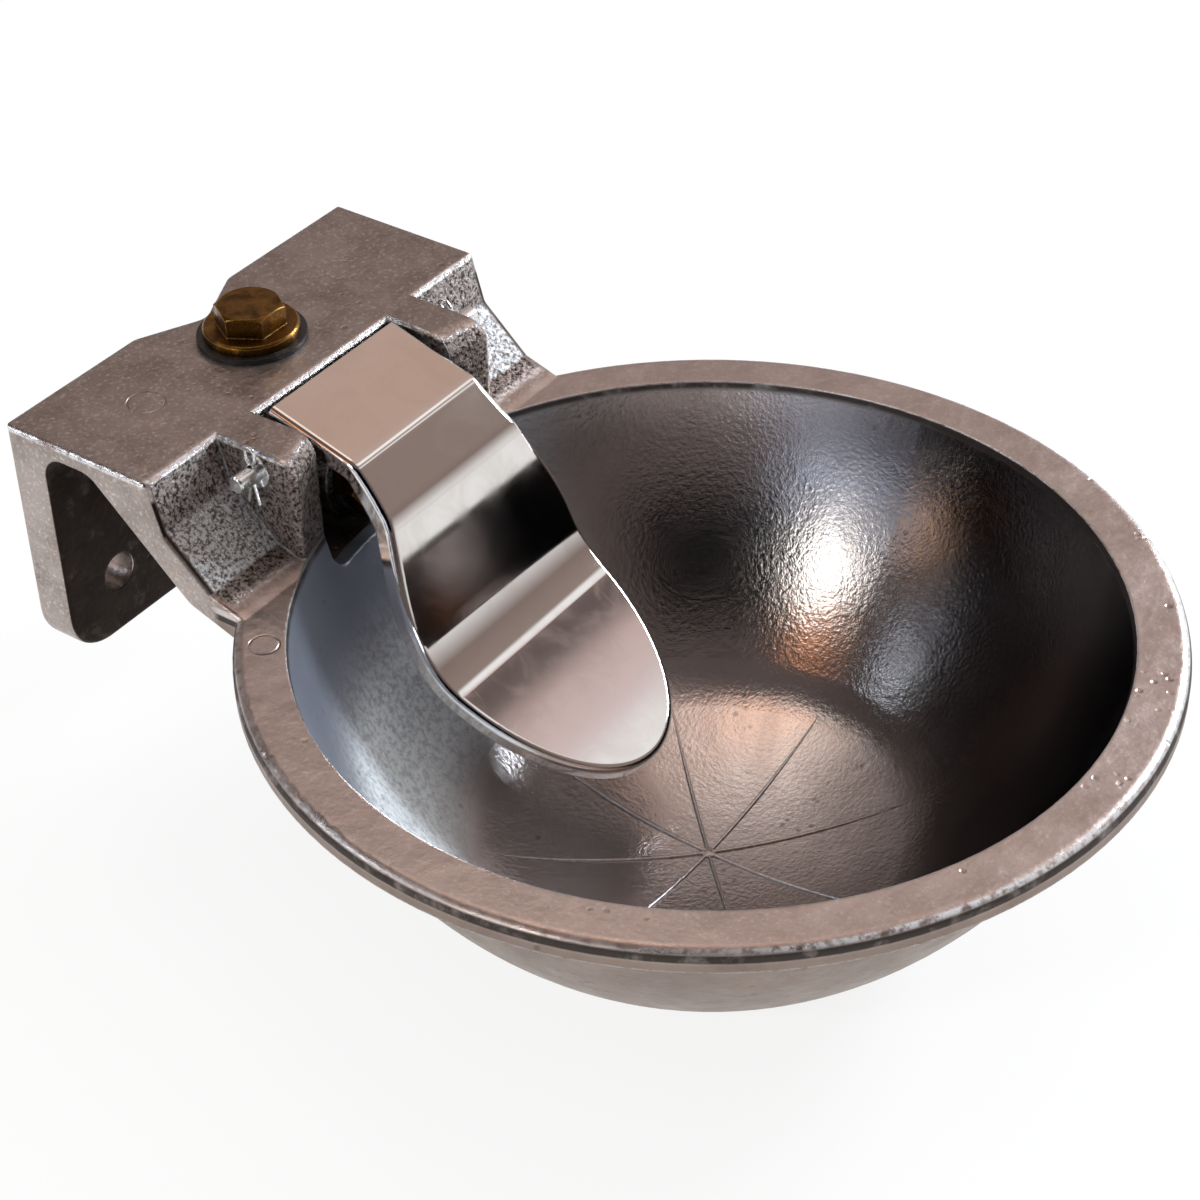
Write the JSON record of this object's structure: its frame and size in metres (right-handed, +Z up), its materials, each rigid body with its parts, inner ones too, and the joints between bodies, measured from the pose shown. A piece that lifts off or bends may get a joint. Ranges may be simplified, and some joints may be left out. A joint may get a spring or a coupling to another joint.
{
  "type": "livestock drinking bowl",
  "caption": "Cast aluminium drinking bowl for cattle with a hinged steel nose paddle that opens a brass water valve.",
  "frame": {"origin": "middle of the four wall bolt holes, on the flat back face that goes against the wall", "axes": "+X to the right, +Y back into the wall, +Z up; the bowl reaches forward along -Y"},
  "size_m": [0.24, 0.2935, 0.1287],
  "materials": {
    "cast_aluminium": "matt as cast",
    "stainless_sheet": "polished",
    "plated_steel": "zinc plated",
    "brass": "turned, a little tarnished",
    "black_rubber": "matt",
    "white_plastic": "satin",
    "stainless_turned": "turned"
  },
  "bodies": {
    "bowl": {"bowl_body": "cast_aluminium", "hinge_pin": "plated_steel", "pin_washer_left": "plated_steel", "pin_washer_right": "plated_steel", "split_pin_left": "plated_steel", "split_pin_right": "plated_steel", "inlet_plug": "brass", "inlet_plug_gasket": "black_rubber", "valve_body": "brass", "valve_body_gasket": "black_rubber", "valve_seat": "brass", "seat_o_ring": "black_rubber", "return_spring": "plated_steel", "spring_retainer": "brass", "strainer": "stainless_turned"},
    "paddle": {"paddle": "stainless_sheet"},
    "stem": {"valve_stem": "stainless_turned", "stem_cap": "white_plastic", "seal_disc": "black_rubber", "seal_holder": "brass", "seal_nut": "brass"}
  },
  "joints": [
    {"name": "paddle_hinge", "type": "hinge", "parent": "bowl", "child": "paddle", "pos_m": [0, -0.062, 0.031], "axis": [1, 0, 0], "range_deg": [0, 5], "stiffness_Nm_per_rad": 3, "springref_deg": -8.59},
    {"name": "stem_slide", "type": "slide", "parent": "bowl", "child": "stem", "axis": [0, 1, 0], "range_m": [0, 0.0028], "deforming": ["return_spring"]}
  ],
  "couplings": [
    {"joint": "stem_slide", "follows": "paddle_hinge", "m_per_rad": 0.032}
  ]
}
